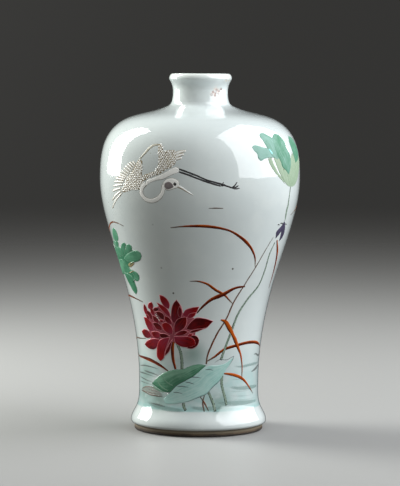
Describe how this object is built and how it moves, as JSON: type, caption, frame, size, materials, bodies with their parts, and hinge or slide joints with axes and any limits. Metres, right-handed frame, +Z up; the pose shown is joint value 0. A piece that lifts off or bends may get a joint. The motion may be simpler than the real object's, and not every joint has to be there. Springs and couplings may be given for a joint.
{
  "type": "meiping vase",
  "caption": "Meiping vase: small rolled mouth on a short waisted neck, high round shoulder, long taper to a waist, and a low flared foot with a countersunk base.",
  "frame": {"origin": "centre of the circle on which the foot rim stands", "axes": "+Z up along the axis of the vase, from the foot to the mouth; the painted face looks along -Y"},
  "size_m": [0.1686, 0.1686, 0.3],
  "materials": {
    "glaze": "clear glossy greenish grey glaze over white porcelain",
    "bare_rim": "bare fired body, tan where it meets the glaze",
    "slip": "fired luting slip, matt",
    "enamel_red": "iron red overglaze enamel, satin",
    "enamel_rose": "crimson overglaze enamel, glossy",
    "enamel_green": "green overglaze enamel, glossy",
    "enamel_turquoise": "turquoise overglaze enamel, glossy",
    "enamel_yellow": "pale yellow green overglaze enamel, glossy",
    "enamel_purple": "purple overglaze enamel, glossy",
    "enamel_white": "white overglaze enamel, satin",
    "enamel_black": "black overglaze enamel line"
  },
  "bodies": {
    "root": {"neck": "glaze", "shoulder": "glaze", "lower_body": "glaze", "foot": "glaze", "base": "glaze", "foot_rim": "bare_rim", "neck_slip": "slip", "body_slip": "slip", "foot_slip": "slip", "base_slip": "slip"}
  },
  "joints": []
}
